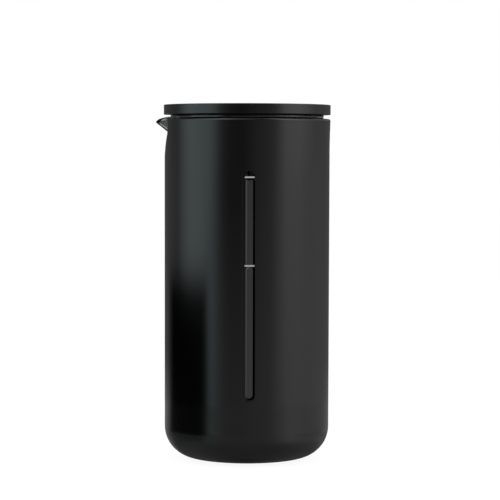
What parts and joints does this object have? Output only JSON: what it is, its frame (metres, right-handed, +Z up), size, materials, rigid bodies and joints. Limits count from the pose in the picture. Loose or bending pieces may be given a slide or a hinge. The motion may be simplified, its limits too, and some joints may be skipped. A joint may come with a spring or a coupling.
{
  "type": "french press",
  "caption": "Cylindrical coffee press: spouted glass beaker in a slotted black shell, flat disc plunger on a steel rod, and a mesh filter that unscrews.",
  "frame": {"origin": "centre of the foot pad's underside, on the surface that the press stands on", "axes": "+Z up along the press's axis, spout towards -X, sight window facing -Y"},
  "size_m": [0.1045, 0.0984, 0.209],
  "materials": {
    "shell_plastic": "satin black, fine moulded grain",
    "window_smoke": "smoke-tinted clear moulding, polished",
    "mark_white": "off-white inlay",
    "foot_rubber": "matt silicone",
    "cushion_rubber": "matt silicone",
    "collar_rubber": "matt silicone",
    "beaker_glass": "smoke-tinted borosilicate, fire polished",
    "seal_rubber": "satin silicone",
    "lid_plastic": "satin black",
    "disc_plastic": "satin black, fine moulded grain",
    "bush_nylon": "natural nylon",
    "screw_steel": "machined",
    "rod_steel": "polished stainless",
    "plate_steel": "pressed stainless, brushed",
    "mesh_steel": "woven stainless wire",
    "insert_brass": "turned brass"
  },
  "bodies": {
    "housing": {"outer_shell": "shell_plastic", "sight_window": "window_smoke", "level_marks": "mark_white", "foot_pad": "foot_rubber", "beaker_cushion": "cushion_rubber", "beaker_collar": "collar_rubber"},
    "beaker": {"glass_beaker": "beaker_glass"},
    "seal": {"lid_seal": "seal_rubber"},
    "lid": {"lid_cover": "lid_plastic", "lid_core": "lid_plastic", "lid_screws": "screw_steel", "pour_strainer": "plate_steel"},
    "bush": {"rod_bush": "bush_nylon", "bush_clip": "screw_steel"},
    "plunger": {"disc_cap": "disc_plastic", "disc_plate": "disc_plastic", "rod_insert": "insert_brass", "insert_screws": "screw_steel", "plunger_rod": "rod_steel", "rod_collar": "rod_steel"},
    "filter_plates": {"spring_plate": "plate_steel", "edge_spring": "plate_steel", "mesh_screen": "mesh_steel"},
    "filter_hub": {"cross_plate": "plate_steel", "hub_nut": "screw_steel"}
  },
  "joints": [
    {"name": "beaker_lift", "type": "slide", "parent": "housing", "child": "beaker", "axis": [0, 0, 1], "range_m": [0, 0.195]},
    {"name": "lid_lift", "type": "slide", "parent": "beaker", "child": "seal", "axis": [0, 0, 1], "range_m": [0, 0.19]},
    {"name": "lid_turn", "type": "hinge", "parent": "seal", "child": "lid", "pos_m": [0, 0, 0.2], "axis": [0, 0, 1], "continuous": true},
    {"name": "plunger_turn", "type": "hinge", "parent": "lid", "child": "bush", "pos_m": [0, 0, 0.195], "axis": [0, 0, 1], "continuous": true},
    {"name": "plunger_slide", "type": "slide", "parent": "bush", "child": "plunger", "axis": [0, 0, 1], "range_m": [0, 0.15]},
    {"name": "filter_drop", "type": "slide", "parent": "plunger", "child": "filter_plates", "axis": [0, 0, -1], "range_m": [0, 0.00721]},
    {"name": "filter_screw", "type": "hinge", "parent": "filter_plates", "child": "filter_hub", "pos_m": [0, 0, 0.027], "axis": [0, 0, -1], "range_deg": [0, 3240]}
  ],
  "couplings": [
    {"joint": "filter_drop", "follows": "filter_screw", "m_per_rad": 0.00012732}
  ]
}
